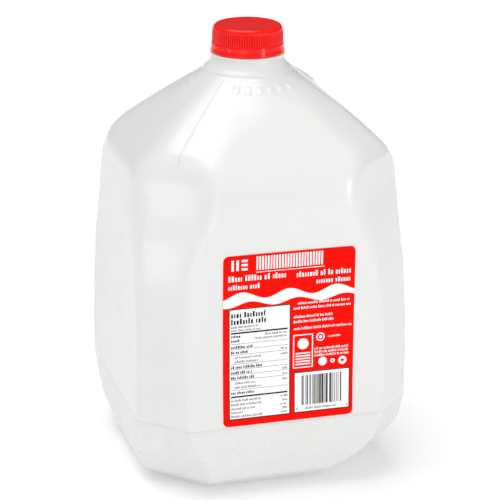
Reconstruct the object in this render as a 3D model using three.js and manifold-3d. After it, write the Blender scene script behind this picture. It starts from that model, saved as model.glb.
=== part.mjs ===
// Plastic milk jug: a shut four-litre bottle blown in white polyethylene, with its handle blown in one piece
// with the body, a ribbed screw cap moulded with its tear band, and a paper label on one face.
// Units are millimetres. +Z is up and the origin is on the floor under the neck. The handle is at the +Y
// corner, the mould seam runs down the -Y corner, and the label is on the face that looks to (+1, -1).

import * as THREE from 'three';
import Module from 'manifold-3d';

// Colours and finishes
const JUG_WHITE = 0xeeeeec;
const CAP_RED = 0xe81c12;
const LABEL_RED = 0xf02010;

// Body: distance from the axis to the flat faces, to the two side corners and to the two corners in the seam
// plane, each as [height, distance] points of a smooth outline from the floor to the neck ring
const NECK_RING_Z = 228.3;
const NECK_RING_RADIUS = 23.7;
const FACE_OUTLINE = [
  [0, 59.8], [4, 66.4], [12, 75.1], [25.5, 78.2], [44, 79], [118, 78.2], [162, 78.6],
  [176, 76.4], [186, 71.8], [196, 62.6], [212, 44.8], [NECK_RING_Z, NECK_RING_RADIUS],
];
const SIDE_CORNER_OUTLINE = [
  [0, 59.5], [10, 75.3], [21.5, 89.4], [33.5, 95.1], [49, 97], [83, 96.5], [118, 93.9], [147, 88.7],
  [171, 82.9], [185, 81.2], [193, 75.9], [202, 63.6], [NECK_RING_Z, NECK_RING_RADIUS],
];
const SEAM_CORNER_OUTLINE = [
  [0, 69.5], [10, 81.3], [21.5, 86.5], [33.5, 92.2], [49, 94.4], [83, 95], [118, 94], [142, 90.3],
  [163, 84.2], [186, 78.8], [194, 74], [202, 64.2], [NECK_RING_Z, NECK_RING_RADIUS],
];
const CORNER_SHARPNESS = 40;
const ROUND_FROM_Z = 200;

// Each face is dished inwards a little between its edges
const DISH_DEPTH = 1.6;
const DISH_HALF_WIDTH = 52;
const DISH_BOTTOM_Z = 44;
const DISH_TOP_Z = 176;

// Foot: a flat ring to stand on round a shallow push-up
const FOOT_RING_INNER = 0.88;
const PUSH_UP_EDGE = 0.78;
const PUSH_UP_CENTRE = 0.4;
const PUSH_UP_HEIGHT = 4;

// Neck above its ring, as [radius, height], up to the closed top inside the cap
const NECK_OUTLINE = [[23, 229.6], [21.2, 232.2], [20.1, 235], [19.6, 236.4], [18.3, 236.6], [18.3, 250]];

// Hollow behind the handle: a leaning wall that opens out sideways as a rounded V and flares above and below
const HOLLOW_WALL_Y = 40;
const HOLLOW_LEAN = 0.09;
const HOLLOW_OUTER_Y = 110;
const HOLLOW_HALF_WIDTH = 80;
const HOLLOW_SIDE_SLOPE = 0.28;
const HOLLOW_SIDE_ROUNDING = 14;
const HOLLOW_FLARE_TOP_Z = 180;
const HOLLOW_FLARE_BOTTOM_Z = 112;
const HOLLOW_TOP_RADIUS = 11;
const HOLLOW_BOTTOM_RADIUS = 5;
const HOLLOW_STEPS_ACROSS = 16;
const HOLLOW_STEPS_UP = 24;

// Handle: a bar that goes on up the line of the body's corner from inside its foot, then bends over and runs
// up the shoulder into the neck. Heights are of its outer side.
const HANDLE_WIDTH = 25;
const HANDLE_THICKNESS = 23.5;
const HANDLE_FOOT_Z = 84;
const HANDLE_BEND_Z = 182;
const HANDLE_CROWN = [[76.8, 194.5], [72.3, 204], [63.5, 212], [50, 219], [17, 232.5]];
const HANDLE_ROOT_SCALE = 0.6;
const HANDLE_ROUNDNESS = 2.3;
const HANDLE_SIDES = 24;
const HANDLE_STEPS = 32;

// Cap
const CAP_BOTTOM_Z = 237;
const CAP_TOP_Z = 252.6;
const CAP_RIBS = 90;
const CAP_RIB_DEPTH = 0.4;
const CAP_SIDE_RADIUS = 20.1;
const CAP_BORE_RADIUS = 18.7;
const CAP_CEILING_Z = 250.35;

// Label
const LABEL_WIDTH = 75;
const LABEL_HEIGHT = 99;
const LABEL_CENTRE_Z = 94.2;
const LABEL_OFFSET = 2.2;
const LABEL_CORNER = 3;
const LABEL_GAP = 0.32;
const LABEL_THICKNESS = 0.3;
const LABEL_COLUMNS = 10;
const LABEL_ROWS = 14;

const RIGHT_ANGLE = Math.PI / 2;
const degrees = THREE.MathUtils.degToRad;

// A smooth outline through [position, value] points that never overshoots them
function smoothOutline(points) {
  const count = points.length;
  const step = (i) => points[i + 1][0] - points[i][0];
  const slope = (i) => (points[i + 1][1] - points[i][1]) / step(i);
  const tangent = points.map((point, i) => {
    if (i === 0) return slope(0);
    if (i === count - 1) return slope(count - 2);
    if (slope(i - 1) * slope(i) <= 0) return 0;
    const before = 2 * step(i) + step(i - 1);
    const after = step(i) + 2 * step(i - 1);
    return (before + after) / (before / slope(i - 1) + after / slope(i));
  });
  return (position) => {
    let i = 0;
    while (i < count - 2 && position > points[i + 1][0]) i += 1;
    const h = step(i);
    const t = THREE.MathUtils.clamp((position - points[i][0]) / h, 0, 1);
    const start = points[i][1] * (1 + 2 * t) * (1 - t) ** 2 + tangent[i] * h * t * (1 - t) ** 2;
    return start + points[i + 1][1] * t * t * (3 - 2 * t) - tangent[i + 1] * h * t * t * (1 - t);
  };
}

const faceDistance = smoothOutline(FACE_OUTLINE);
const sideCornerDistance = smoothOutline(SIDE_CORNER_OUTLINE);
const seamCornerDistance = smoothOutline(SEAM_CORNER_OUTLINE);

// Radius of a square with cut corners, its edges rounded: the high power of each side's closeness is summed
function eightSidedRadius(angle, face, sideCorner, seamCorner) {
  const sides = [
    Math.cos(angle - RIGHT_ANGLE / 2) / face,
    Math.sin(angle - RIGHT_ANGLE / 2) / face,
    Math.cos(angle) / sideCorner,
    Math.sin(angle) / seamCorner,
  ];
  const sum = sides.reduce((total, side) => total + Math.abs(side) ** CORNER_SHARPNESS, 0);
  return sum ** (-1 / CORNER_SHARPNESS);
}

// How far a face is dished at a distance along it and a height
function dishDepth(along, z) {
  const across = 1 - (along / DISH_HALF_WIDTH) ** 2;
  const middle = (DISH_TOP_Z + DISH_BOTTOM_Z) / 2;
  const upright = 1 - ((z - middle) / (DISH_TOP_Z - middle)) ** 4;
  return DISH_DEPTH * Math.max(across, 0) ** 2 * Math.max(upright, 0);
}

function bodyRadius(angle, z) {
  const face = faceDistance(z);
  const octagon = eightSidedRadius(angle, face, sideCornerDistance(z), seamCornerDistance(z));
  const roundness = THREE.MathUtils.smoothstep(z, ROUND_FROM_Z, NECK_RING_Z);
  const outer = octagon / eightSidedRadius(angle, 1, 1, 1) ** roundness;
  const fromFace = Math.abs(((angle % RIGHT_ANGLE) + RIGHT_ANGLE) % RIGHT_ANGLE - RIGHT_ANGLE / 2);
  return outer - dishDepth(face * Math.tan(fromFace), z) / Math.cos(fromFace);
}

// A closed solid from rings of points, bottom ring first, each closed by a fan at the two ends
function solidFromRings(rings) {
  const around = rings[0].length;
  const centreOf = (ring) => ring.reduce((sum, p) => sum.add(p), new THREE.Vector3()).divideScalar(around);
  const points = rings.flat().concat(centreOf(rings[0]), centreOf(rings[rings.length - 1]));
  const bottom = points.length - 2;
  const index = [];
  for (let k = 0; k < around; k += 1) {
    const next = (k + 1) % around;
    const last = (rings.length - 1) * around;
    index.push(bottom, next, k, bottom + 1, last + k, last + next);
    for (let row = 0; row < rings.length - 1; row += 1) {
      const low = row * around;
      const high = low + around;
      index.push(low + k, low + next, high + next, low + k, high + next, high + k);
    }
  }
  const geometry = new THREE.BufferGeometry().setFromPoints(points);
  geometry.setIndex(index);
  return geometry;
}

// Angles round the body, closer together at the corners. The same steps run from each corner to the middle
// of the face beside it.
function bodyAngles() {
  const steps = [0, 3, 6, 9, 12.5, 16, 20, 24, 30, 37, 45].map(degrees);
  const back = steps.slice(1, -1).reverse().map((step) => RIGHT_ANGLE - step);
  return [0, 1, 2, 3].flatMap((corner) => [...steps, ...back].map((step) => step + corner * RIGHT_ANGLE));
}

// Heights of the body's rings: closer together at the heel and the shoulder
function bodyLevels() {
  const spans = [[0, 44, 9, 1.6], [44, 116, 6, 1], [116, 172, 7, 1], [172, 206, 10, 1],
    [206, NECK_RING_Z, 5, 1]];
  const inside = spans.flatMap(([from, to, count, bias]) => Array.from({ length: count },
    (unused, i) => from + (to - from) * (i / count) ** bias));
  return [...inside, NECK_RING_Z];
}

function jugBody() {
  const angles = bodyAngles();
  const ring = (z, radiusAt) => angles.map((angle) => {
    const radius = radiusAt(angle);
    return new THREE.Vector3(radius * Math.cos(angle), radius * Math.sin(angle), z);
  });
  const foot = (scale, z) => ring(z, (angle) => bodyRadius(angle, 0) * scale);
  const rings = [foot(PUSH_UP_CENTRE, PUSH_UP_HEIGHT), foot(PUSH_UP_EDGE, PUSH_UP_HEIGHT * 0.75),
    foot(FOOT_RING_INNER, 0)];
  bodyLevels().forEach((z) => rings.push(ring(z, (angle) => bodyRadius(angle, z))));
  NECK_OUTLINE.forEach(([radius, z]) => rings.push(ring(z, () => radius)));
  return solidFromRings(rings);
}

// What is cut away behind the handle. At each height the wall is y = wall + slope * rounded |x|. The wall leans
// inwards as it rises, and turns outwards with the square of the height past the two flares.
function handleHollow() {
  const leaning = (z) => HOLLOW_WALL_Y - HOLLOW_LEAN * (z - HOLLOW_FLARE_BOTTOM_Z);
  const above = (z) => Math.max(z - HOLLOW_FLARE_TOP_Z, 0) ** 2 / (2 * HOLLOW_TOP_RADIUS);
  const below = (z) => Math.max(HOLLOW_FLARE_BOTTOM_Z - z, 0) ** 2 / (2 * HOLLOW_BOTTOM_RADIUS);
  const depth = HOLLOW_OUTER_Y - HOLLOW_WALL_Y;
  const bottom = HOLLOW_FLARE_BOTTOM_Z - Math.sqrt(2 * HOLLOW_BOTTOM_RADIUS * depth);
  const top = HOLLOW_FLARE_TOP_Z + Math.sqrt(2 * HOLLOW_TOP_RADIUS * depth);
  const rings = [];
  for (let row = 0; row <= HOLLOW_STEPS_UP; row += 1) {
    const z = THREE.MathUtils.lerp(bottom, top, row / HOLLOW_STEPS_UP);
    const ring = [];
    for (let column = 0; column <= HOLLOW_STEPS_ACROSS; column += 1) {
      const x = HOLLOW_HALF_WIDTH * (2 * column / HOLLOW_STEPS_ACROSS - 1);
      const sideways = Math.hypot(x, HOLLOW_SIDE_ROUNDING) - HOLLOW_SIDE_ROUNDING;
      ring.push(new THREE.Vector3(x, leaning(z) + above(z) + below(z) + HOLLOW_SIDE_SLOPE * sideways, z));
    }
    const outer = HOLLOW_OUTER_Y + HOLLOW_HALF_WIDTH * HOLLOW_SIDE_SLOPE;
    ring.push(new THREE.Vector3(HOLLOW_HALF_WIDTH, outer, z));
    ring.push(new THREE.Vector3(-HOLLOW_HALF_WIDTH, outer, z));
    rings.push(ring);
  }
  return solidFromRings(rings);
}

// Handle bar: a rounded section carried below a smooth curve of its outer side in the plane x = 0. Near the
// neck it gets a little smaller.
function handleBar() {
  const upright = [0, 0.2, 0.4, 0.6, 0.8, 1].map((t) => {
    const z = THREE.MathUtils.lerp(HANDLE_FOOT_Z, HANDLE_BEND_Z, t);
    return new THREE.Vector3(0, seamCornerDistance(z), z);
  });
  const crown = HANDLE_CROWN.map(([y, z]) => new THREE.Vector3(0, y, z));
  const outerSide = new THREE.CatmullRomCurve3([...upright, ...crown], false, 'centripetal');
  const rounded = (value) => Math.sign(value) * Math.abs(value) ** (2 / HANDLE_ROUNDNESS);
  return solidFromRings(Array.from({ length: HANDLE_STEPS + 1 }, (step, i) => {
    const along = i / HANDLE_STEPS;
    const at = outerSide.getPointAt(along);
    const tangent = outerSide.getTangentAt(along);
    const outward = new THREE.Vector3(0, tangent.z, -tangent.y);
    const scale = THREE.MathUtils.lerp(1, HANDLE_ROOT_SCALE, THREE.MathUtils.smoothstep(along, 0.7, 1));
    return Array.from({ length: HANDLE_SIDES }, (side, k) => {
      const phase = (4 * RIGHT_ANGLE * k) / HANDLE_SIDES;
      const x = rounded(Math.cos(phase)) * scale * HANDLE_WIDTH / 2;
      const out = (rounded(Math.sin(phase)) - 1) * scale * HANDLE_THICKNESS / 2;
      return at.clone().addScaledVector(outward, out).setX(x);
    });
  }));
}

// Cuts the hollow out of the body and joins the handle on, as one closed solid
async function blownJug(body, hollow, handle) {
  const wasm = await Module();
  wasm.setup();
  const solid = (geometry) => new wasm.Manifold(new wasm.Mesh({
    numProp: 3,
    vertProperties: new Float32Array(geometry.getAttribute('position').array),
    triVerts: new Uint32Array(geometry.getIndex().array),
  }));
  const mesh = solid(body).subtract(solid(hollow)).add(solid(handle)).getMesh();
  const geometry = new THREE.BufferGeometry();
  geometry.setAttribute('position', new THREE.BufferAttribute(mesh.vertProperties, mesh.numProp));
  geometry.setIndex(new THREE.BufferAttribute(mesh.triVerts, 1));
  return geometry;
}

// Cap: a turned cup over the neck. The side carries fine upright ribs, and the tear band below them is smooth.
function capSolid() {
  const outline = [
    [CAP_BORE_RADIUS, CAP_CEILING_Z, 0],
    [CAP_BORE_RADIUS + 0.2, CAP_BOTTOM_Z, 0],
    [CAP_SIDE_RADIUS + 0.3, CAP_BOTTOM_Z, 0],
    [CAP_SIDE_RADIUS + 0.65, CAP_BOTTOM_Z + 0.9, 0],
    [CAP_SIDE_RADIUS + 0.35, CAP_BOTTOM_Z + 5.2, 0],
    [CAP_SIDE_RADIUS + 0.2, CAP_BOTTOM_Z + 5.8, 1],
    [CAP_SIDE_RADIUS, CAP_TOP_Z - 2.2, 1],
    [CAP_SIDE_RADIUS - 1.1, CAP_TOP_Z - 0.6, 0],
    [CAP_SIDE_RADIUS - 3.4, CAP_TOP_Z, 0],
    [CAP_SIDE_RADIUS - 4.1, CAP_TOP_Z - 0.3, 0],
  ];
  const points = 2 * CAP_RIBS;
  return solidFromRings(outline.map(([radius, z, ribbed]) => Array.from({ length: points }, (unused, k) => {
    const angle = (4 * RIGHT_ANGLE * k) / points;
    const across = radius - ribbed * (k % 2) * CAP_RIB_DEPTH;
    return new THREE.Vector3(across * Math.cos(angle), across * Math.sin(angle), z);
  })));
}

// Label: a thin sheet with rounded corners that follows the dished face, front and back split alike
function labelSolid() {
  const faceNormal = new THREE.Vector3(1, -1, 0).normalize();
  const alongFace = new THREE.Vector3(1, 1, 0).normalize();
  const point = (column, row, lift) => {
    const up = (row / LABEL_ROWS - 0.5) * LABEL_HEIGHT;
    const intoCorner = Math.max(Math.abs(up) - (LABEL_HEIGHT / 2 - LABEL_CORNER), 0);
    const halfWidth = LABEL_WIDTH / 2 - LABEL_CORNER + Math.sqrt(LABEL_CORNER ** 2 - intoCorner ** 2);
    const along = LABEL_OFFSET + (2 * column / LABEL_COLUMNS - 1) * halfWidth;
    const z = LABEL_CENTRE_Z + up;
    const distance = faceDistance(z) - dishDepth(along, z) + lift;
    return faceNormal.clone().multiplyScalar(distance).addScaledVector(alongFace, along).setZ(z);
  };
  const columns = LABEL_COLUMNS + 1;
  const sheet = (lift) => Array.from({ length: columns * (LABEL_ROWS + 1) },
    (unused, i) => point(i % columns, Math.floor(i / columns), lift));
  const front = sheet(LABEL_GAP + LABEL_THICKNESS);
  const back = sheet(LABEL_GAP);
  const index = [];
  const quad = (a, b, c, d) => index.push(a, b, c, a, c, d);
  const at = (column, row) => row * columns + column;
  for (let row = 0; row < LABEL_ROWS; row += 1) {
    for (let column = 0; column < LABEL_COLUMNS; column += 1) {
      const corners = [at(column, row), at(column + 1, row), at(column + 1, row + 1), at(column, row + 1)];
      quad(...corners);
      const [a, b, c, d] = corners.map((corner) => corner + front.length);
      index.push(a, c, b, a, d, c);
    }
  }
  const rim = [];
  for (let column = 0; column < LABEL_COLUMNS; column += 1) rim.push(at(column, 0));
  for (let row = 0; row < LABEL_ROWS; row += 1) rim.push(at(LABEL_COLUMNS, row));
  for (let column = LABEL_COLUMNS; column > 0; column -= 1) rim.push(at(column, LABEL_ROWS));
  for (let row = LABEL_ROWS; row > 0; row -= 1) rim.push(at(0, row));
  rim.forEach((from, i) => {
    const to = rim[(i + 1) % rim.length];
    quad(from, from + front.length, to + front.length, to);
  });
  const geometry = new THREE.BufferGeometry().setFromPoints(front.concat(back));
  geometry.setIndex(index);
  return geometry;
}

function piece(name, geometry, color, roughness) {
  const mesh = new THREE.Mesh(geometry, new THREE.MeshStandardMaterial({ color, roughness, metalness: 0 }));
  mesh.name = name;
  return mesh;
}

const milkJug = new THREE.Group();
milkJug.add(piece('jug', await blownJug(jugBody(), handleHollow(), handleBar()), JUG_WHITE, 0.45));
milkJug.add(piece('cap', capSolid(), CAP_RED, 0.35));
milkJug.add(piece('label', labelSolid(), LABEL_RED, 0.4));

export default milkJug;
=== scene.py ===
import math

import bpy
import numpy as np
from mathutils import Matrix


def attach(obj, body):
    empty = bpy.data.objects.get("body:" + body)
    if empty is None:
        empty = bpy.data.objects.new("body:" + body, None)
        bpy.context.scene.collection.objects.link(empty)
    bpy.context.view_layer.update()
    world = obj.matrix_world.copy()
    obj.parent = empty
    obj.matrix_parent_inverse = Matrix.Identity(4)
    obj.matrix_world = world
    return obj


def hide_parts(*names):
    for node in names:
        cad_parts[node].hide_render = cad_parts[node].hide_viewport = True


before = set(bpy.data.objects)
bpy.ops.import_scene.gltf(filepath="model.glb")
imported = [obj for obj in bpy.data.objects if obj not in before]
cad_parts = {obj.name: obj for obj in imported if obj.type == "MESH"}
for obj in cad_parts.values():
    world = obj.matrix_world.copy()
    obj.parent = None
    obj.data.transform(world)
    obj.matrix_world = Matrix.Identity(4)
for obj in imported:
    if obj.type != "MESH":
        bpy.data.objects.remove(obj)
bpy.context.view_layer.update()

# The bottle's body, a single skin of milky polyethylene blown in a two-part mould: a square with cut corners,
# its faces dished a little and its heel stippled. Here it is a field, which is below zero in the plastic.
# All sizes in this file are millimetres, with the floor at z = 0 and the neck on the z axis.
METRES_PER_MM = 0.001
RIGHT_ANGLE = math.pi / 2
NECK_RING_Z = 228.3
NECK_RING_RADIUS = 23.7
FACE_OUTLINE = [
    (0, 59.8), (4, 66.4), (12, 75.1), (25.5, 78.2), (44, 79), (118, 78.2), (162, 78.6),
    (176, 76.4), (186, 71.8), (196, 62.6), (212, 44.8), (NECK_RING_Z, NECK_RING_RADIUS),
]
SIDE_CORNER_OUTLINE = [
    (0, 59.5), (10, 75.3), (21.5, 89.4), (33.5, 95.1), (49, 97), (83, 96.5), (118, 93.9), (147, 88.7),
    (171, 82.9), (185, 81.2), (193, 75.9), (202, 63.6), (NECK_RING_Z, NECK_RING_RADIUS),
]
SEAM_CORNER_OUTLINE = [
    (0, 69.5), (10, 81.3), (21.5, 86.5), (33.5, 92.2), (49, 94.4), (83, 95), (118, 94), (142, 90.3),
    (163, 84.2), (186, 78.8), (194, 74), (202, 64.2), (NECK_RING_Z, NECK_RING_RADIUS),
]
FOOT_SHARPNESS = 120
BODY_SHARPNESS = 40
SHOULDER_SHARPNESS = 22
FOOT_SHARP_BELOW_Z = 60
BODY_SHARP_ABOVE_Z = 150
SHOULDER_FROM_Z = 178
ROUND_FROM_Z = 200
DISH_DEPTH = 1.6
DISH_HALF_WIDTH = 54
DISH_BOTTOM_Z = 44
DISH_TOP_Z = 176
HEEL_TOP_Z = 44
HEEL_STEP = 0.4
HEEL_STEP_REACH = 1
HEEL_DEPTH = 1
HEEL_DEPTH_REACH = 16
HEEL_FADE_BOTTOM_Z = 2
HEEL_FADE_TOP_Z = 18
DENT_ACROSS = 4
DENT_Z = 33
DENT_DEPTH = 2
DENT_SPREAD = 4.5
SKIN_INSET = 0.06


def cubic_between(start, end, start_slope, end_slope, step, t):
    """The cubic from start to end over the step, with those slopes at its ends, for t from 0 to 1:
    start · (1 + 2t)(1 - t)^2 + start slope · step · t (1 - t)^2
    + end · t^2 (3 - 2t) - end slope · step · t^2 (1 - t)."""
    first_half = start * (1 + 2 * t) * (1 - t) ** 2 + start_slope * step * t * (1 - t) ** 2
    return first_half + end * t * t * (3 - 2 * t) - end_slope * step * t * t * (1 - t)


def smooth_outline(points, position):
    """The value at each position of a smooth curve through (position, value) points: cubics between them,
    whose slopes at the inner points are the weighted harmonic means of the slopes on both sides."""
    at, value = np.array(points, float).T
    step = np.diff(at)
    slope = np.diff(value) / step
    before, after = slope[:-1], slope[1:]
    weight_before = 2 * step[1:] + step[:-1]
    weight_after = step[1:] + 2 * step[:-1]
    turning = before * after <= 0
    safe_before, safe_after = np.where(turning, 1, before), np.where(turning, 1, after)
    mean = (weight_before + weight_after) / (weight_before / safe_before + weight_after / safe_after)
    tangent = np.concatenate([slope[:1], np.where(turning, 0, mean), slope[-1:]])
    i = np.clip(np.searchsorted(at, position) - 1, 0, len(step) - 1)
    t = np.clip((position - at[i]) / step[i], 0, 1)
    return cubic_between(value[i], value[i + 1], tangent[i], tangent[i + 1], step[i], t)


def smooth_step(value, low, high):
    """Runs from 0 at low to 1 at high along t · t · (3 - 2 t)."""
    t = np.clip((value - low) / (high - low), 0, 1)
    return t * t * (3 - 2 * t)


def eight_sided_radius(angle, z, face, side_corner, seam_corner):
    """Radius of a square with cut corners: 1 over the power mean of how near each side is in that direction.
    The mean's power falls from foot to shoulder, which makes the corners softer as they rise."""
    on_shoulder = smooth_step(z, SHOULDER_FROM_Z, ROUND_FROM_Z)
    at_foot = smooth_step(z, BODY_SHARP_ABOVE_Z, FOOT_SHARP_BELOW_Z)
    power = BODY_SHARPNESS + (SHOULDER_SHARPNESS - BODY_SHARPNESS) * on_shoulder
    power = power + (FOOT_SHARPNESS - BODY_SHARPNESS) * at_foot
    sides = (
        np.cos(angle - RIGHT_ANGLE / 2) / face,
        np.sin(angle - RIGHT_ANGLE / 2) / face,
        np.cos(angle) / side_corner,
        np.sin(angle) / seam_corner,
    )
    nearest = np.maximum.reduce([np.abs(side) for side in sides])
    total = sum((np.abs(side) / nearest) ** power for side in sides)
    return total ** (-1 / power) / nearest


def face_distance(along, z):
    """Distance of a face from the axis, less its dish: the depth times 1 - (along / half width)^4 across,
    times 1 - (height from the middle / half height)^4 up."""
    across = np.maximum(1 - (along / DISH_HALF_WIDTH) ** 4, 0)
    middle = (DISH_TOP_Z + DISH_BOTTOM_Z) / 2
    upright = np.maximum(1 - ((z - middle) / (DISH_TOP_Z - middle)) ** 4, 0)
    return smooth_outline(FACE_OUTLINE, z) - DISH_DEPTH * across * upright


def body_radius(angle, z):
    """Radius of the body: the eight-sided outline of that height, made round towards the neck, less the dish,
    less the heel's step and slope, less a bell-shaped dent at the foot of the front corner."""
    face = smooth_outline(FACE_OUTLINE, z)
    corners = smooth_outline(SIDE_CORNER_OUTLINE, z), smooth_outline(SEAM_CORNER_OUTLINE, z)
    roundness = smooth_step(z, ROUND_FROM_Z, NECK_RING_Z)
    outer = eight_sided_radius(angle, z, face, *corners) / eight_sided_radius(angle, z, 1, 1, 1) ** roundness
    from_face = np.abs(np.mod(angle, RIGHT_ANGLE) - RIGHT_ANGLE / 2)
    dish = face - face_distance(face * np.tan(from_face), z)
    heel = HEEL_STEP * smooth_step(z, HEEL_TOP_Z + HEEL_STEP_REACH, HEEL_TOP_Z - HEEL_STEP_REACH)
    slope = HEEL_DEPTH * np.clip((HEEL_TOP_Z - z) / HEEL_DEPTH_REACH, 0, 1)
    heel = heel + slope * smooth_step(z, HEEL_FADE_BOTTOM_Z, HEEL_FADE_TOP_Z)
    beside = (angle + RIGHT_ANGLE) * outer - DENT_ACROSS
    dent = DENT_DEPTH * np.exp(-(beside ** 2 + (z - DENT_Z) ** 2) / (2 * DENT_SPREAD ** 2))
    return outer - dish / np.cos(from_face) - heel - dent - SKIN_INSET


# The hollow for the hand. In the real mould a block on each side pinches the skin together behind the handle;
# what is left of the body there is a smooth wall that flares out again above and below.
HOLLOW_WALL_Y = 40
HOLLOW_LEAN = 0.09
HOLLOW_SIDE_SLOPE = 0.28
HOLLOW_SIDE_ROUNDING = 14
HOLLOW_FLARE_TOP_Z = 180
HOLLOW_FLARE_BOTTOM_Z = 112
HOLLOW_TOP_RADIUS = 11
HOLLOW_BOTTOM_RADIUS = 5


def hollow_field(x, y, z):
    """Distance behind the hollow's wall, which is y = wall + slope · rounded |x|, leans in as it rises and
    turns out with the square of the height past the two flares. It is above zero where the hand goes."""
    above = np.maximum(z - HOLLOW_FLARE_TOP_Z, 0)
    below = np.maximum(HOLLOW_FLARE_BOTTOM_Z - z, 0)
    sideways = np.hypot(x, HOLLOW_SIDE_ROUNDING)
    wall = HOLLOW_WALL_Y - HOLLOW_LEAN * (z - HOLLOW_FLARE_BOTTOM_Z)
    wall = wall + above ** 2 / (2 * HOLLOW_TOP_RADIUS) + below ** 2 / (2 * HOLLOW_BOTTOM_RADIUS)
    wall = wall + HOLLOW_SIDE_SLOPE * (sideways - HOLLOW_SIDE_ROUNDING)
    rise = above / HOLLOW_TOP_RADIUS - below / HOLLOW_BOTTOM_RADIUS - HOLLOW_LEAN
    spread = HOLLOW_SIDE_SLOPE * x / sideways
    return (y - wall) / np.sqrt(1 + rise ** 2 + spread ** 2)


# The handle, a tube of the same skin, blown in one with the body: upright above the body's rear corner, then
# bent over and led into the shoulder beside the neck, where it gets thinner. Points on its line are (y, z).
HANDLE_WIDTH = 25
HANDLE_THICKNESS = 23.5
HANDLE_FOOT_Z = 84
HANDLE_FOOT_INSET = 6
HANDLE_BEND_Z = 182
HANDLE_CROWN = [(76.8, 194.5), (72.3, 204), (63.5, 212), (50, 219), (17, 232.5)]
HANDLE_UPRIGHT_KNOTS = 6
HANDLE_ROOT_SCALE = 0.6
HANDLE_ROOT_FROM = 0.7
HANDLE_ROUNDNESS = 2.3
HANDLE_STATIONS = 260
POINTS_AT_A_TIME = 20000


def along_curve(points):
    """How far along a chain of points each one lies."""
    return np.concatenate([[0], np.cumsum(np.linalg.norm(np.diff(points, axis=0), axis=1))])


def through_points(points, count, finer=12):
    """A curve through the points, cut into even steps: between each pair it is the cubic whose slopes come
    from the points before and after, over steps of the square root of the distance."""
    known = np.array(points, float)
    known = np.vstack([2 * known[0] - known[1], known, 2 * known[-1] - known[-2]])
    knot = np.concatenate([[0], np.cumsum(np.sqrt(np.linalg.norm(np.diff(known, axis=0), axis=1)))])
    slope = np.diff(known, axis=0) / np.diff(knot)[:, None]
    weight = (np.diff(knot)[:-1] / (knot[2:] - knot[:-2]))[:, None]
    tangent = slope[:-1] * (1 - weight) + slope[1:] * weight
    known, knot = known[1:-1], knot[1:-1]
    fine = np.linspace(knot[0], knot[-1], finer * count)
    i = np.clip(np.searchsorted(knot, fine) - 1, 0, len(knot) - 2)
    step = (knot[i + 1] - knot[i])[:, None]
    t = (fine - knot[i])[:, None] / step
    curve = cubic_between(known[i], known[i + 1], tangent[i], tangent[i + 1], step, t)
    travelled = along_curve(curve)
    even = np.linspace(0, travelled[-1], count)
    return np.column_stack([np.interp(even, travelled, column) for column in curve.T])


upright_z = np.linspace(HANDLE_FOOT_Z, HANDLE_BEND_Z, HANDLE_UPRIGHT_KNOTS)
upright_y = smooth_outline(SEAM_CORNER_OUTLINE, upright_z) - HANDLE_FOOT_INSET * (upright_z == HANDLE_FOOT_Z)
handle_back = through_points([*zip(upright_y, upright_z), *HANDLE_CROWN], HANDLE_STATIONS)
handle_tangent = np.gradient(handle_back, axis=0)
handle_tangent /= np.linalg.norm(handle_tangent, axis=1)[:, None]
handle_outward = np.column_stack([handle_tangent[:, 1], -handle_tangent[:, 0]])
handle_share = np.linspace(0, 1, HANDLE_STATIONS)
handle_scale = 1 - (1 - HANDLE_ROOT_SCALE) * smooth_step(handle_share, HANDLE_ROOT_FROM, 1)
handle_middle = handle_back - handle_outward * handle_scale[:, None] * HANDLE_THICKNESS / 2


def handle_field(x, y, z):
    """Distance from the handle bar, worked out only near it: the nearest station of its middle line gives how
    far out and how far along a point lies, and the rounded section is the power mean of its half sizes."""
    field = np.full(x.shape, float(HANDLE_WIDTH))
    close = (np.abs(x) < HANDLE_WIDTH) & (y > 0)
    across, place = np.abs(x[close]), np.column_stack([y[close], z[close]])
    near = np.concatenate([
        ((part[:, None] - handle_middle[None]) ** 2).sum(axis=2).argmin(axis=1)
        for part in np.array_split(place, 1 + len(place) // POINTS_AT_A_TIME)
    ])
    offset = place - handle_middle[near]
    out = np.abs((offset * handle_outward[near]).sum(axis=1))
    past = (offset * handle_tangent[near]).sum(axis=1)
    half_width = handle_scale[near] * HANDLE_WIDTH / 2
    half_thickness = handle_scale[near] * HANDLE_THICKNESS / 2
    section = (across / half_width) ** HANDLE_ROUNDNESS + (out / half_thickness) ** HANDLE_ROUNDNESS
    beside = (section ** (1 / HANDLE_ROUNDNESS) - 1) * half_thickness
    field[close] = np.hypot(np.maximum(beside, 0), past) + np.minimum(beside, 0)
    return field


# The skin. Body, hollow and handle are one blown surface with soft meeting lines and a push-up underneath. It
# is cut from the field on a cubic grid turned to run along the faces, then settled on the field's zero.
PUSH_UP_HEIGHT = 4
PUSH_UP_SLOPE = (0.1, 0.24)
FOOT_ROUNDING = 3
HOLLOW_RIM_ROUNDING = 9
HANDLE_BLEND = 8
SKIN_TOP_Z = 228.2
SKIN_PITCH = 1.7
SKIN_MARGIN = 4
SLOPE_STEP = 0.5


def smooth_least(a, b, reach):
    """The lesser of two fields, with the corner where they meet filled over the reach."""
    overlap = np.maximum(reach - np.abs(a - b), 0) / reach
    return np.minimum(a, b) - overlap ** 2 * reach / 4


def smooth_most(a, b, reach):
    """The greater of two fields, with the edge where they meet rounded off over the reach."""
    return -smooth_least(-a, -b, reach)


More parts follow.
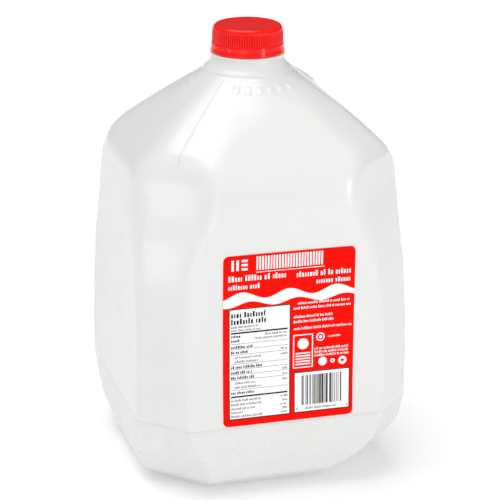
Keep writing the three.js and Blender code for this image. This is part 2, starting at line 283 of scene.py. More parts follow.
def jug_field(x, y, z):
    """Below zero inside the bottle: the body, less the push-up and the hollow, joined with the handle."""
    angle = np.arctan2(y, x)
    radius = body_radius(angle, z)
    slope = (body_radius(angle, z + SLOPE_STEP) - body_radius(angle, z - SLOPE_STEP)) / (2 * SLOPE_STEP)
    reach = np.hypot(x, y)
    body = (reach - radius) / np.sqrt(1 + slope ** 2)
    inward = 1 - reach / body_radius(angle, np.zeros_like(z))
    underside = PUSH_UP_HEIGHT * smooth_step(inward, *PUSH_UP_SLOPE)
    body = smooth_most(body, underside - z, FOOT_ROUNDING)
    body = smooth_most(body, hollow_field(x, y, z), HOLLOW_RIM_ROUNDING)
    body = smooth_least(body, handle_field(x, y, z), HANDLE_BLEND)
    return np.maximum(body, z - SKIN_TOP_Z)


def off_face(along, out):
    """x and y of points beside the label's face: out is the distance from the axis square to it."""
    return (along + out) / math.sqrt(2), (along - out) / math.sqrt(2)


def zero_surface(values):
    """Points and four-sided faces where a field on a cubic grid passes through zero, in grid steps. Each
    crossed grid edge has one face round it, and each cell that the surface cuts has one point, at the mean of
    the crossings on its edges."""
    unit = np.eye(3, dtype=int)
    rings, crossings = [], []
    for axis in range(3):
        count = values.shape[axis]
        before, after = values.take(range(count - 1), axis), values.take(range(1, count), axis)
        edge = np.argwhere((before < 0) != (after < 0))
        start, end = before[tuple(edge.T)], after[tuple(edge.T)]
        crossings.append(edge + np.outer(start / (start - end), unit[axis]))
        side, up = unit[(axis + 1) % 3], unit[(axis + 2) % 3]
        ring = np.stack([edge, edge - side, edge - side - up, edge - up], axis=1)
        ring[start > 0] = ring[start > 0][:, ::-1]
        rings.append(ring)
    key = (np.concatenate(rings) * [1, values.shape[0], values.shape[0] * values.shape[1]]).sum(axis=2)
    faces = np.unique(key, return_inverse=True)[1].reshape(-1, 4)
    spread = np.repeat(np.concatenate(crossings), 4, axis=0)
    share = np.bincount(faces.ravel())
    points = np.column_stack([np.bincount(faces.ravel(), column) / share for column in spread.T])
    return points, faces


def field_slope(points):
    """The jug's field across each point along x, y and z, as its change over a small step either way."""
    return np.column_stack([
        (jug_field(*(points + step).T) - jug_field(*(points - step).T)) / (2 * SLOPE_STEP)
        for step in SLOPE_STEP * np.eye(3)
    ])


def settled(points, rounds):
    """The points moved onto the bottle's skin: each round takes off the field's value along its slope."""
    for _ in range(rounds):
        slope = field_slope(points)
        points = points - slope * (jug_field(*points.T) / (slope ** 2).sum(axis=1))[:, None]
    return points


def evened(points, faces):
    """Each point moved half way to the mean of its neighbours along the faces' edges."""
    start, end = faces.ravel(), np.roll(faces, -1, axis=1).ravel()
    share = np.bincount(start, minlength=len(points))
    total = [np.bincount(start, column[end], minlength=len(points)) for column in points.T]
    mean = np.column_stack(total) / share[:, None]
    return (points + mean) / 2


half_side = max(distance for _, distance in FACE_OUTLINE) + SKIN_MARGIN
level_line = np.arange(-half_side, half_side, SKIN_PITCH)
upright_line = np.arange(-SKIN_MARGIN, SKIN_TOP_Z + SKIN_MARGIN, SKIN_PITCH)
grid_out, grid_along, grid_z = np.meshgrid(level_line, level_line, upright_line, indexing="ij")
skin_steps, skin_faces = zero_surface(jug_field(*off_face(grid_along, grid_out), grid_z))
skin_out, skin_along, skin_z = (skin_steps * SKIN_PITCH - [half_side, half_side, SKIN_MARGIN]).T
skin = settled(np.column_stack([*off_face(skin_along, skin_out), skin_z]), 1)
for _ in range(2):
    skin = settled(evened(skin, skin_faces), 1)
skin[:, 2] = np.maximum(skin[:, 2], 0)


def new_material(name, colour, settings):
    """A Principled material with that colour, and these values on its shader's own sockets."""
    material = bpy.data.materials.new(name)
    material.use_nodes = True
    shader = material.node_tree.nodes["Principled BSDF"]
    shader.inputs["Base Color"].default_value = (*colour, 1)
    for socket, value in settings.items():
        shader.inputs[socket].default_value = value
    return material


def add_node(tree, kind, inputs=None, **settings):
    """A shader node with these settings. Each input is given a value or joined to another node's output."""
    node = tree.nodes.new("ShaderNode" + kind)
    for key, value in settings.items():
        setattr(node, key, value)
    for key, value in (inputs or {}).items():
        if isinstance(value, bpy.types.NodeSocket):
            tree.links.new(value, node.inputs[key])
        else:
            node.inputs[key].default_value = value
    return node


def noise_over(tree, size, detail=2.0):
    """Noise over the piece's own coordinates, with features of that many millimetres."""
    place = add_node(tree, "TexCoord").outputs["Object"]
    scale = 1 / (size * METRES_PER_MM)
    return add_node(tree, "TexNoise", {"Vector": place, "Scale": scale, "Detail": detail}).outputs["Fac"]


def stretched(tree, value, from_low, from_high, to_low, to_high, **settings):
    """The value, with the range between its two from ends stretched to the range between the two to ends."""
    ends = {"From Min": from_low, "From Max": from_high, "To Min": to_low, "To Max": to_high}
    return add_node(tree, "MapRange", {"Value": value, **ends}, **settings).outputs["Result"]


def wander(tree, size, low, high):
    """A value between low and high that follows the middle of a noise of that size in millimetres."""
    return stretched(tree, noise_over(tree, size), 0.3, 0.7, low, high)


def vary_roughness(material, size, low, high):
    """Lets the roughness wander between low and high with noise of that size in millimetres."""
    tree = material.node_tree
    tree.links.new(wander(tree, size, low, high), tree.nodes["Principled BSDF"].inputs["Roughness"])


def relief(material, layers):
    """Stacks bumps on the shader. Each layer is a height from 0 to 1 and its depth in millimetres."""
    tree = material.node_tree
    normal = None
    for height, depth in layers:
        inputs = {"Height": height, "Distance": depth * METRES_PER_MM, "Strength": 1.0}
        if normal is not None:
            inputs["Normal"] = normal
        normal = add_node(tree, "Bump", inputs).outputs["Normal"]
    tree.links.new(normal, tree.nodes["Principled BSDF"].inputs["Normal"])


def add_piece(name, points, faces, node, slot, material):
    """A smooth mesh with its points in millimetres, which stands for a node of the part."""
    mesh = bpy.data.meshes.new(name)
    corners = [[int(i) for i in face] for face in faces]
    mesh.from_pydata((np.asarray(points) * METRES_PER_MM).tolist(), [], corners)
    mesh.materials.append(material)
    mesh.shade_smooth()
    piece = bpy.data.objects.new(name, mesh)
    bpy.context.scene.collection.objects.link(piece)
    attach(piece, "root")
    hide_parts(node)


MILKY_COLOUR = (0.755, 0.755, 0.75)
STIPPLE_SIZE = 1.5
STIPPLE_FADE = 1.5
STIPPLE_DEPTH = 0.5
milky = new_material("milky_polyethylene", MILKY_COLOUR, {
    "Subsurface Weight": 0.15, "Subsurface Scale": 0.003, "Subsurface Radius": (1, 0.95, 0.9),
})
vary_roughness(milky, size=18, low=0.21, high=0.255)
milky_tree = milky.node_tree
milky_place = add_node(milky_tree, "TexCoord").outputs["Object"]
milky_height = add_node(milky_tree, "SeparateXYZ", {0: milky_place}).outputs["Z"]
stipple_top = HEEL_TOP_Z * METRES_PER_MM
stipple_full = stipple_top - STIPPLE_FADE * METRES_PER_MM
on_heel = stretched(milky_tree, milky_height, stipple_top, stipple_full, 0, 1)
grain = noise_over(milky_tree, STIPPLE_SIZE, detail=1.0)
stipple = add_node(milky_tree, "Math", {0: grain, 1: on_heel}, operation="MULTIPLY").outputs["Value"]
relief(milky, [
    (noise_over(milky_tree, 35), 0.18), (noise_over(milky_tree, 2.4), 0.02), (stipple, STIPPLE_DEPTH),
])
add_piece("jug_skin", skin, skin_faces, "jug", "jug_plastic", milky)


# The neck, blown in one with the bottle: a low ring where it leaves the shoulder, a cone, and a small ledge
# under the cap. Inside the cap it goes on as a plain stub. The profile is (radius, z).
NECK_SIDES = 180
NECK_PROFILE = [
    (0, 224), (22, 224), (24.9, 226.9), (25, 227.3), (24.9, 227.9), (24.6, 228.5), (24.1, 229.1),
    (23.5, 229.6), (22.8, 230.3), (22.1, 231.2), (21.5, 232.2), (21, 233.3), (20.6, 234.4), (20.4, 235.2),
    (20.45, 235.6), (20.85, 235.8), (21, 236.2), (20.95, 236.7), (20.6, 236.95), (18.2, 237), (18.2, 249.8),
    (17, 250.2), (0, 250.2),
]


def quads(number):
    """The four-sided faces of a grid of point numbers."""
    corners = number[:-1, :-1], number[1:, :-1], number[1:, 1:], number[:-1, 1:]
    return np.stack(corners, axis=-1).reshape(-1, 4)


def wrapped(number):
    """A grid of point numbers with its first column again at the end, so that every row closes on itself."""
    return np.column_stack([number, number[:, 0]])


def lathe(profile, sides):
    """Points and faces of a profile of (radius, z) turned about the z axis, on which it starts and ends."""
    profile = np.array(profile, float)
    angle = np.arange(sides) * 2 * math.pi / sides
    radius, z = profile[1:-1, :1], profile[1:-1, 1:]
    rings = np.stack(np.broadcast_arrays(radius * np.cos(angle), radius * np.sin(angle), z), axis=-1)
    number = wrapped(np.arange(len(rings) * sides).reshape(-1, sides))
    foot, head = len(rings) * sides, len(rings) * sides + 1
    points = np.vstack([rings.reshape(-1, 3), [0, 0, profile[0, 1]], [0, 0, profile[-1, 1]]])
    ends = [[foot, b, a] for a, b in zip(number[0], number[0, 1:])]
    ends += [[a, b, head] for a, b in zip(number[-1], number[-1, 1:])]
    return points, quads(number.T).tolist() + ends


add_piece("neck", *lathe(NECK_PROFILE, NECK_SIDES), "jug", "jug_plastic", milky)


# The mould's parting line. Plastic that crept between the two halves leaves a low bead in the plane of the
# handle: down the shoulder and the front corner, under the base and up the handle's back. On the body it is
# almost flat. Points on its route are (y, z).
SEAM_WIDTH = 1
SEAM_SHOULDER_HEIGHT = 0.2
SEAM_BODY_HEIGHT = 0.03
SEAM_RISE_Z = (186, 196)
SEAM_STATIONS = 700
SEAM_FRONT_KNOTS = 60
SEAM_REAR_KNOTS = 24
SEAM_TOP_Z = 226
SEAM_FOOT_Z = 3
SEAM_UNDER_BASE = [(-56, 0.5), (-44, 4), (44, 4), (56, 0.5)]
SEAM_REAR_TOP_Z = 80
SEAM_ON_HANDLE = slice(8, -30)
BEAD_SIDES = 12
BEAD_SINK = 0.05


def outward(points):
    """Unit vectors straight out of the skin, along the field's slope."""
    slope = field_slope(points)
    return slope / np.linalg.norm(slope, axis=1)[:, None]


def add_bead(name, line, across, width, height, closed):
    """A flat tube on the skin: a ring is line + out · (height · sin t - sink) + across · width / 2 · cos t.
    A closed one joins its last ring to its first, and another has a face over each end."""
    turn = np.linspace(0, 2 * math.pi, BEAD_SIDES, endpoint=False)
    rise = np.broadcast_to(height, len(line))[:, None] * np.sin(turn) - BEAD_SINK
    rings = line[:, None] + outward(line)[:, None] * rise[:, :, None]
    rings = rings + np.array(across) * (width / 2 * np.cos(turn))[:, None]
    number = np.arange(len(line) * BEAD_SIDES).reshape(-1, BEAD_SIDES)
    rows = np.vstack([number, number[:1]]) if closed else number
    ends = [] if closed else [number[0, ::-1], number[-1]]
    add_piece(name, rings.reshape(-1, 3), [*quads(wrapped(rows).T), *ends], "jug", "jug_plastic", milky)


front_z = np.linspace(SEAM_TOP_Z, SEAM_FOOT_Z, SEAM_FRONT_KNOTS)
front_route = np.column_stack([-body_radius(np.full_like(front_z, -RIGHT_ANGLE), front_z), front_z])
rear_z = np.linspace(SEAM_FOOT_Z, SEAM_REAR_TOP_Z, SEAM_REAR_KNOTS)
rear_route = np.column_stack([body_radius(np.full_like(rear_z, RIGHT_ANGLE), rear_z), rear_z])
seam_route = np.vstack([front_route, SEAM_UNDER_BASE, rear_route, handle_back[SEAM_ON_HANDLE]])
seam_travelled = along_curve(seam_route)
seam_even = np.linspace(0, seam_travelled[-1], SEAM_STATIONS)
seam_y, seam_z = (np.interp(seam_even, seam_travelled, column) for column in seam_route.T)
seam_line = settled(np.column_stack([np.zeros(SEAM_STATIONS), seam_y, seam_z]), 3)
seam_share = smooth_step(seam_line[:, 2], *SEAM_RISE_Z)
seam_height = SEAM_BODY_HEIGHT + (SEAM_SHOULDER_HEIGHT - SEAM_BODY_HEIGHT) * seam_share
add_bead("mould_seam", seam_line, (1, 0, 0), SEAM_WIDTH, seam_height, closed=False)


# The base line. The stippled base is moulded by an insert of its own, whose upper edge leaves a fine ridge
# all round the bottle, just under the label.
BASE_LINE_Z = 43.4
BASE_LINE_WIDTH = 0.9
BASE_LINE_HEIGHT = 0.2
BASE_LINE_STATIONS = 720
base_angle = np.linspace(0, 2 * math.pi, BASE_LINE_STATIONS, endpoint=False)
base_z = np.full(BASE_LINE_STATIONS, BASE_LINE_Z)
base_reach = body_radius(base_angle, base_z)
base_ring = np.column_stack([base_reach * np.cos(base_angle), base_reach * np.sin(base_angle), base_z])
add_bead("base_line", settled(base_ring, 2), (0, 0, -1), BASE_LINE_WIDTH, BASE_LINE_HEIGHT, closed=True)


# The raised pads on the shoulder, under the neck: low rounded squares moulded with the skin, in an arc of six
# in front and two on the left. Their turns are degrees from the front corner.
PAD_TURNS = (-56, -44, 18, 29.5, 41, 52.5, 64, 75.5)
PAD_RADIUS = 32
PAD_Z = 221.5
PAD_Z_SPREAD = 2
PAD_WIDTH = 4.2
PAD_LENGTH = 5
PAD_HEIGHT = 0.35
PAD_SINK = 0.08
PAD_CELLS = 8
pad_steps = np.linspace(-1, 1, PAD_CELLS + 1)
pad_across, pad_up = np.meshgrid(pad_steps, pad_steps, indexing="ij")
pad_rise = PAD_HEIGHT * ((1 - pad_across ** 6) * (1 - pad_up ** 6)).reshape(-1, 1) - PAD_SINK
pad_number = np.arange(pad_across.size).reshape(pad_across.shape)
pad_points, pad_faces = [], []
for pad, turn_degrees in enumerate(PAD_TURNS):
    pad_angle = math.radians(turn_degrees) - RIGHT_ANGLE + pad_across * PAD_WIDTH / 2 / PAD_RADIUS
    pad_reach = PAD_RADIUS - pad_up * PAD_LENGTH / 2
    pad_z = PAD_Z + pad_up * PAD_Z_SPREAD
    flat = np.stack([pad_reach * np.cos(pad_angle), pad_reach * np.sin(pad_angle), pad_z])
    foot_points = settled(flat.reshape(3, -1).T, 3)
    pad_points.append(foot_points + outward(foot_points) * pad_rise)
    pad_faces.append(quads(pad_number + pad * pad_number.size))
add_piece("shoulder_pads", np.concatenate(pad_points), np.concatenate(pad_faces), "jug", "jug_plastic", milky)


# The screw cap, moulded in red polypropylene: a thin shell with a raised rim round its top, fine grip ribs
# and a smooth tear band at its foot. The profile is (radius, z), down the outside and up the inside.
CAP_PROFILE = [
    (0, 252.15), (8, 252.15), (14.8, 252.15), (15.4, 252.25), (15.9, 252.5), (16.5, 252.6), (17.2, 252.55),
    (17.9, 252.35), (18.5, 252), (19, 251.5), (19.35, 250.9), (19.6, 250.2), (19.75, 249.4), (19.8, 248.8),
    (19.85, 248), (19.9, 246), (19.95, 244), (20, 243), (20, 242.6), (20.25, 242.3), (20.3, 241.8),
    (20.35, 240.4), (20.45, 239.6), (20.6, 239.05), (20.78, 238.5), (20.88, 238), (20.9, 237.6),
    (20.8, 237.25), (20.5, 237.05), (19.6, 237), (18.8, 237.2), (18.7, 238), (18.7, 250.35), (17, 250.4),
    (0, 250.4),
]
CAP_SIDE_RADIUS = 20
CAP_INSIDE_RADIUS = 19
RIB_COUNT = 90
RIB_DEPTH = 0.85
SIDES_PER_RIB = 8
RIB_BOTTOM_Z = (242.6, 243.4)
RIB_TOP_Z = (249, 250)
cap, cap_faces = lathe(CAP_PROFILE[::-1], RIB_COUNT * SIDES_PER_RIB)
cap_angle = np.arctan2(cap[:, 1], cap[:, 0])
ribbed = smooth_step(cap[:, 2], *RIB_BOTTOM_Z) * (1 - smooth_step(cap[:, 2], *RIB_TOP_Z))
outside = np.hypot(cap[:, 0], cap[:, 1]) > CAP_INSIDE_RADIUS
valley = np.abs(np.sin(cap_angle * RIB_COUNT / 2)) ** 3
cap[:, :2] *= (1 - RIB_DEPTH * ribbed * outside * valley / CAP_SIDE_RADIUS)[:, None]
CAP_COLOUR = (0.9, 0.005, 0.003)
red_plastic = new_material("red_polypropylene", CAP_COLOUR, {"Specular IOR Level": 0.28})
vary_roughness(red_plastic, size=6, low=0.17, high=0.23)
relief(red_plastic, [(noise_over(red_plastic.node_tree, 0.8), 0.006)])
add_piece("cap_shell", cap, cap_faces, "cap", "cap_plastic", red_plastic)


# The label: one sheet of coated paper with rounded corners, printed red and glued to the front face, whose
# dish it follows. Its own measures, across and up, start at its lower left corner.
LABEL_WIDTH = 75
LABEL_HEIGHT = 99
LABEL_CENTRE_Z = 94.2
LABEL_OFFSET = 2.2
LABEL_CORNER = 3
LABEL_LIFT = 0.06
LABEL_THICKNESS = 0.2
LABEL_CELL = 2.5
LABEL_ROWS = 45
CORNER_POINTS = 9
LABEL_RED = (0.97, 0.004, 0.0005)
MOTTLE_SIZE = 9
GLOSS_SIZE = 5
FIBRE_SIZE = 0.6
FIBRE_DEPTH = 0.012


def on_face(across, up, lift):
    """Points over the label's face at those measures, lifted straight off it."""
    along = across - LABEL_WIDTH / 2 + LABEL_OFFSET
    z = up - LABEL_HEIGHT / 2 + LABEL_CENTRE_Z
    return np.stack([*off_face(along, face_distance(along, z) + lift), z], axis=-1)


bend = LABEL_CORNER * (1 - np.cos(np.linspace(0, RIGHT_ANGLE, CORNER_POINTS)))[:-1]
straight_cells = 1 + int((LABEL_WIDTH - 2 * LABEL_CORNER) / LABEL_CELL)
straight = np.linspace(LABEL_CORNER, LABEL_WIDTH - LABEL_CORNER, straight_cells + 1)
label_line = np.concatenate([bend, straight, LABEL_WIDTH - bend[::-1]])
in_corner = np.maximum(LABEL_CORNER - np.minimum(label_line, LABEL_WIDTH - label_line), 0)
label_inset = LABEL_CORNER - np.sqrt(np.maximum(LABEL_CORNER ** 2 - in_corner ** 2, 0))
label_share = np.linspace(0, 1, LABEL_ROWS)
label_up = label_inset[:, None] + label_share * (LABEL_HEIGHT - 2 * label_inset)[:, None]
label_across = np.broadcast_to(label_line[:, None], label_up.shape)
label_front = on_face(label_across, label_up, LABEL_LIFT + LABEL_THICKNESS)
label_back = on_face(label_across, label_up, LABEL_LIFT)
sheet = np.arange(label_up.size).reshape(label_up.shape)
rim = np.concatenate([sheet[:, 0], sheet[-1, 1:], sheet[-2::-1, -1], sheet[0, -2:0:-1]])
next_on_rim = np.roll(rim, -1)
rim_faces = np.stack([rim, next_on_rim, next_on_rim + sheet.size, rim + sheet.size], axis=-1)
label_points = np.concatenate([label_front.reshape(-1, 3), label_back.reshape(-1, 3)])
label_faces = np.concatenate([quads(sheet), quads(sheet)[:, ::-1] + sheet.size, rim_faces[:, ::-1]])


def printed_paper(name, colour, least_share, shine, roughness=(0.42, 0.55)):
    """Coated paper under one ink: the colour wanders down to that share of itself, the gloss wanders too, and
    the paper's fibres show as a fine relief."""
    material = new_material(name, colour, {"Specular IOR Level": shine})
    tree = material.node_tree
    wandering = wander(tree, MOTTLE_SIZE, least_share, 1.0)
    mottled = add_node(tree, "VectorMath", {0: colour, 1: wandering}, operation="MULTIPLY").outputs["Vector"]
    tree.links.new(mottled, tree.nodes["Principled BSDF"].inputs["Base Color"])
    vary_roughness(material, GLOSS_SIZE, *roughness)
    relief(material, [(noise_over(tree, FIBRE_SIZE), FIBRE_DEPTH)])
    return material


red_ink = printed_paper("red_printed_paper", LABEL_RED, 0.93, 0.05, roughness=(0.4, 0.52))
add_piece("label_sheet", label_points, label_faces, "label", "label_paper", red_ink)


# The print's white grounds. The real print is flat ink; here each field of colour is a thin patch over the
# paper: two panels and a wavy band between two sine lines. A rectangle is always left, bottom, right and top,
# and a line of the band is its height, swing and shift.
PATCH_CELL = 3
GROUND_LIFT = LABEL_LIFT + LABEL_THICKNESS + 0.03
LEFT_PANEL = (3.2, 3.8, 38.5, 68.5)
RIGHT_PANEL = (40.6, 3.9, 73.2, 27.9)
WAVE_LENGTH = 27
WAVE_COLUMNS = 91
WAVE_ROWS = 4
WAVE_TOP = (75.6, 2.1, 4)
WAVE_BOTTOM = (70.6, 1.5, 9)
WHITE = (0.93, 0.93, 0.93)


def add_print(name, patches, lift, material):
    """One piece made of grids on the label. Each patch is a pair of arrays, its points' across and up."""
    points, faces, first = [], [], 0
    for across, up in patches:
        points.append(on_face(across, up, lift).reshape(-1, 3))
        faces.append(quads(first + np.arange(across.size).reshape(across.shape)))
        first += across.size
    add_piece(name, np.concatenate(points), np.concatenate(faces), "label", "label_paper", material)


def block(left, bottom, right, top):
    """A rectangle, cut into cells of about the patch's cell size."""
    across = np.linspace(left, right, 2 + int((right - left) / PATCH_CELL))
    up = np.linspace(bottom, top, 2 + int((top - bottom) / PATCH_CELL))
    return np.meshgrid(across, up, indexing="ij")


def wave_line(across, height, swing, shift):
    """A sine line over the label: height + swing · sin(2 pi · (across - shift) / wave length)."""
    return height + swing * np.sin(2 * math.pi * (across - shift) / WAVE_LENGTH)


wave_across = np.linspace(0, LABEL_WIDTH, WAVE_COLUMNS)[:, None]
wave_bottom, wave_top = wave_line(wave_across, *WAVE_BOTTOM), wave_line(wave_across, *WAVE_TOP)
wave_up = wave_bottom + (wave_top - wave_bottom) * np.linspace(0, 1, WAVE_ROWS)
wave = np.broadcast_to(wave_across, wave_up.shape), wave_up
white_ink = printed_paper("white_printed_paper", WHITE, 0.97, 0.2)
add_print("label_grounds", [block(*LEFT_PANEL), block(*RIGHT_PANEL), wave], GROUND_LIFT, white_ink)


# The white print on the red, flat ink on the real sheet: blocks and upright bars at the top, rows of small
# blocks, and a few plain discs and rings. A row is its left, right, base, height and seed; a ring is the
# across and up of its centre, and its inner and outer radius.
PRINT_LIFT = GROUND_LIFT + 0.03
TOP_BLOCKS = (
    (4.5, 90.4, 5.9, 96.5), (7.3, 90.4, 8.7, 96.5), (10.2, 90.4, 13.7, 91.7), (10.2, 92.8, 13.7, 94.1),
    (10.2, 95.2, 13.7, 96.5),
)
TOP_BARS_FROM = np.arange(18.6, 57, 1.6)
TOP_BAR_WIDTH = 0.95
TOP_BAR_BOTTOM = 89.9
TOP_BAR_TOP = 97.8
TOP_RULE = (18.6, 88.5, 57.4, 88.9)
WHITE_ROWS = (
    (2.9, 36, 84.2, 3.3, 1), (2.9, 21.9, 79.5, 2.9, 2), (41.6, 73.4, 83.6, 3.2, 3), (53, 73.5, 79, 2.9, 4),
    (42.5, 72.2, 67.6, 1.5, 5), (40.2, 73.3, 64.8, 1.5, 6), (40.3, 62.7, 59.7, 1.5, 7),
    (40.3, 63.3, 56.9, 1.5, 8), (40.4, 73.6, 52.8, 1.5, 9), (60.2, 67.4, 46.9, 1.1, 10),
    (52.6, 72.6, 40.1, 1.4, 11), (52.6, 72.6, 38.1, 1.4, 12), (52.6, 72.6, 36.1, 1.4, 13),
)
SMALL_FRAME = (40.1, 30.2, 51.6, 49.9)
SMALL_FRAME_LINE = 0.6
FRAMED_RULES_FROM = 32 + 1.6 * np.arange(5)
FRAMED_RULE_WIDTH = 0.8
FRAMED_RULE_LEFT = 41.6
FRAMED_RULE_RIGHT = 50.1
RING_POINTS = 33
GROUP_SIZES = (2, 10)
GROUP_GAP = 0.35
BLOCK_SPREAD = (0.75, 1.25)
TALL_BLOCKS = 0.33
LOW_BLOCK_HEIGHT = 0.72
RINGS = (
    (45.85, 44.3, 0, 3.2), (55.9, 47.5, 1.8, 2.5), (55.9, 47.5, 0, 0.9),
    (57.3, 32.9, 0, 2.5), (63.1, 32.7, 0.6, 1.3), (68.8, 32.5, 0.9, 2.4),
)


def frame_blocks(left, bottom, right, top, line):
    """The four sides of a frame, with its line inside the rectangle."""
    return [
        block(left, bottom, right, bottom + line), block(left, top - line, right, top),
        block(left, bottom + line, left + line, top - line),
        block(right - line, bottom + line, right, top - line),
    ]


def ring_patch(across, up, inner, outer):
    """A ring, or a disc where inner is 0: centre + radius · (-cos, sin), from inner to outer radius."""
    angle = np.linspace(0, 2 * math.pi, RING_POINTS)
    radius = np.array([[inner], [outer]])
    return across - radius * np.cos(angle), up + radius * np.sin(angle)


def row_blocks(left, right, base, height, seed, share=0.3, gap=0.2):
    """A row of small blocks in groups of two to nine, with a wider gap after each group. A block is about
    that share of the height wide, and a third of them reach the full height."""
    chance = np.random.default_rng(seed)
    blocks, at, left_in_group = [], left, int(chance.integers(*GROUP_SIZES))
    while True:
        width = height * share * chance.uniform(*BLOCK_SPREAD)
        if at + width > right:
            return blocks
        tall = height if chance.random() < TALL_BLOCKS else height * LOW_BLOCK_HEIGHT
        blocks.append(block(at, base, at + width, base + tall))
        left_in_group -= 1
        at += width + height * gap
        if left_in_group == 0:
            at += height * GROUP_GAP
            left_in_group = int(chance.integers(*GROUP_SIZES))


white_print = [block(*rectangle) for rectangle in TOP_BLOCKS]
white_print += [block(left, TOP_BAR_BOTTOM, left + TOP_BAR_WIDTH, TOP_BAR_TOP) for left in TOP_BARS_FROM]
white_print += [block(*TOP_RULE)]
for white_row in WHITE_ROWS:
    white_print += row_blocks(*white_row)
white_print += frame_blocks(*SMALL_FRAME, SMALL_FRAME_LINE)
white_print += [
    block(FRAMED_RULE_LEFT, bottom, FRAMED_RULE_RIGHT, bottom + FRAMED_RULE_WIDTH)
    for bottom in FRAMED_RULES_FROM
]
white_print += [ring_patch(*ring) for ring in RINGS]
add_print("label_white_print", white_print, PRINT_LIFT, white_ink)


# The black print, flat ink too: the frames of both panels, two thick rules, bold rows, and a field of plain
# bars whose widths are drawn at random. A bold row is its base and its right end.
PANEL_LINE = 0.55
THICK_RULES = ((4.5, 53.9, 36.9, 54.8), (4.5, 16.7, 36.9, 17.6))
LARGE_ROWS = ((4.6, 24.6, 63.2, 3.2, 21), (4.6, 26.2, 59.4, 3.2, 22))
BOLD_ROWS = ((51.7, 11), (49.2, 10), (45.4, 17), (42.4, 14), (33.7, 23), (30.6, 17), (27.5, 19), (18.7, 18))
BOLD_ROW_LEFT = 4.6
BOLD_ROW_HEIGHT = 1.6
BOLD_BLOCK_SHARE = 0.4
BOLD_SEED = 31
BARS_LEFT = 45.2
BARS_RIGHT = 69.3
BARS_BOTTOM = 8.2
BARS_TOP = 25.6
BAR_WIDTHS = (0.33, 0.33, 0.66, 0.99)
BAR_COUNT = 60
BAR_SEED = 8
BLACK = (0.006, 0.006, 0.006)
black_ink = printed_paper("black_printed_paper", BLACK, 0.85, 0.12)
black_print = frame_blocks(*LEFT_PANEL, PANEL_LINE) + frame_blocks(*RIGHT_PANEL, PANEL_LINE)
black_print += [block(*rule) for rule in THICK_RULES]
for large_row in LARGE_ROWS:
    black_print += row_blocks(*large_row)
for bold_seed, (bold_base, bold_right) in enumerate(BOLD_ROWS, BOLD_SEED):
    black_print += row_blocks(BOLD_ROW_LEFT, bold_right, bold_base, BOLD_ROW_HEIGHT, bold_seed, BOLD_BLOCK_SHARE)
bar_widths = np.random.default_rng(BAR_SEED).choice(BAR_WIDTHS, BAR_COUNT)
bar_ends = BARS_LEFT + np.cumsum(bar_widths)
black_print += [
    block(end - width, BARS_BOTTOM, end, BARS_TOP)
    for end, width in zip(bar_ends[::2], bar_widths[::2]) if end < BARS_RIGHT
]
add_print("label_black_print", black_print, PRINT_LIFT, black_ink)


# The thin print on the white panels: fine rules and light rows, in grey because at their real size the fine
# strokes let the paper through. A row is its left end, right end and base.
THIN_RULES_AT = (47.9, 44.8, 41.6, 36.1, 33.1, 30, 26.9, 21)
THIN_ROWS = (
    (4.6, 20, 57.2), (4.6, 21.5, 55.4), (24, 36.9, 51.9), (18.5, 36.9, 49.9), (6.6, 22, 39.4),
    (6.6, 20.5, 37), (6.6, 19, 24.5), (6.6, 22, 22), (4.6, 22, 14.4), (4.6, 22, 12), (4.6, 18.5, 9.6),
    (4.6, 11.5, 7.4), (4.6, 22.5, 5.1), (33, 36.9, 42.5), (33, 36.9, 39.4), (34, 36.9, 30.8),
    (34, 36.9, 27.7), (34, 36.9, 24.6), (33, 36.9, 14.6), (34, 36.9, 12.2), (33, 36.9, 9.8), (34, 36.9, 7.6),
    (33, 36.9, 5.3), (47.2, 66, 5.6), (42, 43.2, 5.6), (71.2, 72.2, 5.6),
)
THIN_ROW_HEIGHT = 1.3
THIN_SEED = 61
THIN_RULE_LEFT = 4.5
THIN_RULE_RIGHT = 36.9
THIN_RULE_WIDTH = 0.22
GREY = (0.13, 0.13, 0.13)
grey_ink = printed_paper("grey_printed_paper", GREY, 0.85, 0.5)
grey_print = [
    block(THIN_RULE_LEFT, bottom, THIN_RULE_RIGHT, bottom + THIN_RULE_WIDTH) for bottom in THIN_RULES_AT
]
for thin_seed, (thin_left, thin_right, thin_base) in enumerate(THIN_ROWS, THIN_SEED):
    grey_print += row_blocks(thin_left, thin_right, thin_base, THIN_ROW_HEIGHT, thin_seed)
add_print("label_grey_print", grey_print, PRINT_LIFT, grey_ink)


# The studio's room and floor. The room is white and brightest high behind the camera, so that the cap's top
# and the bottle's rims mirror its dimmer back. The pale floor glows a little to stay white in the picture.
ROOM_AZIMUTH = 27
ROOM_LEVEL = 0.87
ROOM_RISE = 0.5
ROOM_FRONT = 0.63
ROOM_BACK = 0.09
FLOOR_HALF_SIDE = 15000
FLOOR_COLOUR = (0.8, 0.8, 0.8)
FLOOR_GLOW = 0.23
FLOOR_CORNERS = [(-1, -1), (1, -1), (1, 1), (-1, 1)]
scene = bpy.context.scene
scene.view_settings.view_transform = "Standard"
world = bpy.data.worlds.new("white_room")
scene.world = world
world.use_nodes = True
world_tree = world.node_tree
direction = add_node(world_tree, "TexCoord").outputs["Generated"]
room_turn = math.radians(ROOM_AZIMUTH)
room_front = [math.sin(room_turn) * ROOM_LEVEL, -math.cos(room_turn) * ROOM_LEVEL, ROOM_RISE]
facing = add_node(world_tree, "VectorMath", {0: direction, 1: room_front}, operation="DOT_PRODUCT")
brightness = stretched(
    world_tree, facing.outputs["Value"], -1, 1, ROOM_BACK, ROOM_FRONT, interpolation_type="SMOOTHSTEP",
)
world_tree.nodes["Background"].inputs["Color"].default_value = (1, 1, 1, 1)
world_tree.links.new(brightness, world_tree.nodes["Background"].inputs["Strength"])
floor_side = FLOOR_HALF_SIDE * METRES_PER_MM
floor_mesh = bpy.data.meshes.new("floor")
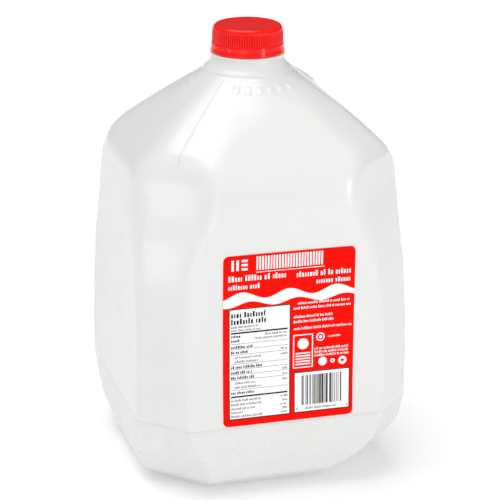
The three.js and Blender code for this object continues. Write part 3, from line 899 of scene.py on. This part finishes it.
floor_mesh.from_pydata([(x * floor_side, y * floor_side, 0) for x, y in FLOOR_CORNERS], [], [(0, 1, 2, 3)])
floor_mesh.materials.append(new_material("floor_paint", FLOOR_COLOUR, {
    "Roughness": 1, "Specular IOR Level": 0, "Emission Color": (1, 1, 1, 1), "Emission Strength": FLOOR_GLOW,
}))
floor = bpy.data.objects.new("floor", floor_mesh)
scene.collection.objects.link(floor)


# The camera, as found from the photo: a long lens a little above the bottle. It aims at a point beside the
# neck's axis by the first measure of the aim and above the floor by the second.
CAMERA_AZIMUTH = 28.5
CAMERA_ELEVATION = 19.2
CAMERA_ROLL = 0.5
CAMERA_DISTANCE = 1146.6
CAMERA_AIM = (2.35, 118.7)
CAMERA_LENS = 142.37
CAMERA_SIGHT = 20000


def towards(azimuth, elevation):
    """The unit vector to that azimuth and elevation in degrees. Azimuth 0 is -Y and 90 is +X."""
    a, e = math.radians(azimuth), math.radians(elevation)
    return np.array([math.sin(a) * math.cos(e), -math.cos(a) * math.cos(e), math.sin(e)])


def set_up(name, data, azimuth, elevation, distance, aim, roll=0):
    """Puts a camera or lamp into the scene at that direction and distance from the point it aims at. Its
    matrix has the side, the up and the backward direction as columns, turned about the last by the roll."""
    a, r = math.radians(azimuth), math.radians(roll)
    backward = towards(azimuth, elevation)
    side = np.array([math.cos(a), math.sin(a), 0])
    up = np.cross(backward, side)
    matrix = np.eye(4)
    matrix[:3, 0] = side * math.cos(r) + up * math.sin(r)
    matrix[:3, 1] = up * math.cos(r) - side * math.sin(r)
    matrix[:3, 2] = backward
    matrix[:3, 3] = (side * aim[0] + np.array([0, 0, aim[1]]) + backward * distance) * METRES_PER_MM
    thing = bpy.data.objects.new(name, data)
    thing.matrix_world = matrix.T.tolist()
    scene.collection.objects.link(thing)
    return thing


camera_data = bpy.data.cameras.new("camera")
camera_data.lens = CAMERA_LENS
camera_data.clip_end = CAMERA_SIGHT * METRES_PER_MM
scene.camera = set_up(
    "camera", camera_data, CAMERA_AZIMUTH, CAMERA_ELEVATION, CAMERA_DISTANCE, CAMERA_AIM, CAMERA_ROLL,
)


# The lamps: a wide soft box beside the camera, a tall narrow one on each side for the glints on cap and
# corners, and a broad light overhead. A soft box is azimuth, elevation, distance, width, height and power.
SOFTBOXES = {
    "left_softbox": (-29, 3, 1100, 60, 300, 0.45),
    "front_softbox": (14, 4, 1300, 500, 700, 1.4),
    "right_softbox": (79, 12, 1200, 60, 500, 2.7),
}
SOFTBOX_AIM = (0, 120)
OVERHEAD_POWER = 1.8
OVERHEAD_SPREAD = 50
OVERHEAD_TILT = 12
OVERHEAD_TURN = -80
for name, (azimuth, elevation, distance, width, height, power) in SOFTBOXES.items():
    softbox_data = bpy.data.lights.new(name, "AREA")
    softbox_data.shape = "RECTANGLE"
    softbox_data.size = width * METRES_PER_MM
    softbox_data.size_y = height * METRES_PER_MM
    softbox_data.energy = power
    set_up(name, softbox_data, azimuth, elevation, distance, SOFTBOX_AIM)
overhead_data = bpy.data.lights.new("overhead_lamp", "SUN")
overhead_data.energy = OVERHEAD_POWER
overhead_data.angle = math.radians(OVERHEAD_SPREAD)
overhead = bpy.data.objects.new("overhead_lamp", overhead_data)
overhead.rotation_euler = (math.radians(OVERHEAD_TILT), 0, math.radians(OVERHEAD_TURN))
scene.collection.objects.link(overhead)
